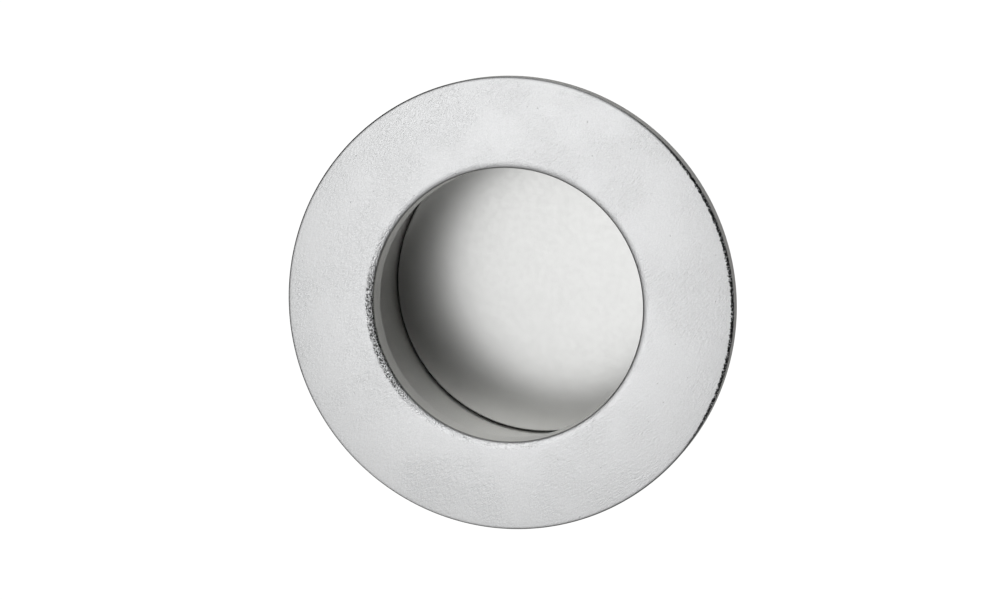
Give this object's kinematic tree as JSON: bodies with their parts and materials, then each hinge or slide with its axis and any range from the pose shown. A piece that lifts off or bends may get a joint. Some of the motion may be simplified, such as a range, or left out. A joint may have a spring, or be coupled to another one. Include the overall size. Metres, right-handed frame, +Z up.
{
  "type": "flush pull",
  "caption": "Round metal flush pull with a wide, slightly crowned flange and an undercut finger recess, set into a drilled hole in a sliding door or furniture front.",
  "frame": {"origin": "centre of the skirt in the plane of the flange's back face, which lies on the door", "axes": "+Y along the axis into the door, so the front faces -Y; +Z up"},
  "size_m": [0.045, 0.0185, 0.045],
  "materials": {
    "body_metal": "fine blasted matt silver",
    "floor_metal": "smooth satin"
  },
  "bodies": {
    "root": {"pull_body": "body_metal", "floor_disc": "floor_metal"}
  },
  "joints": []
}
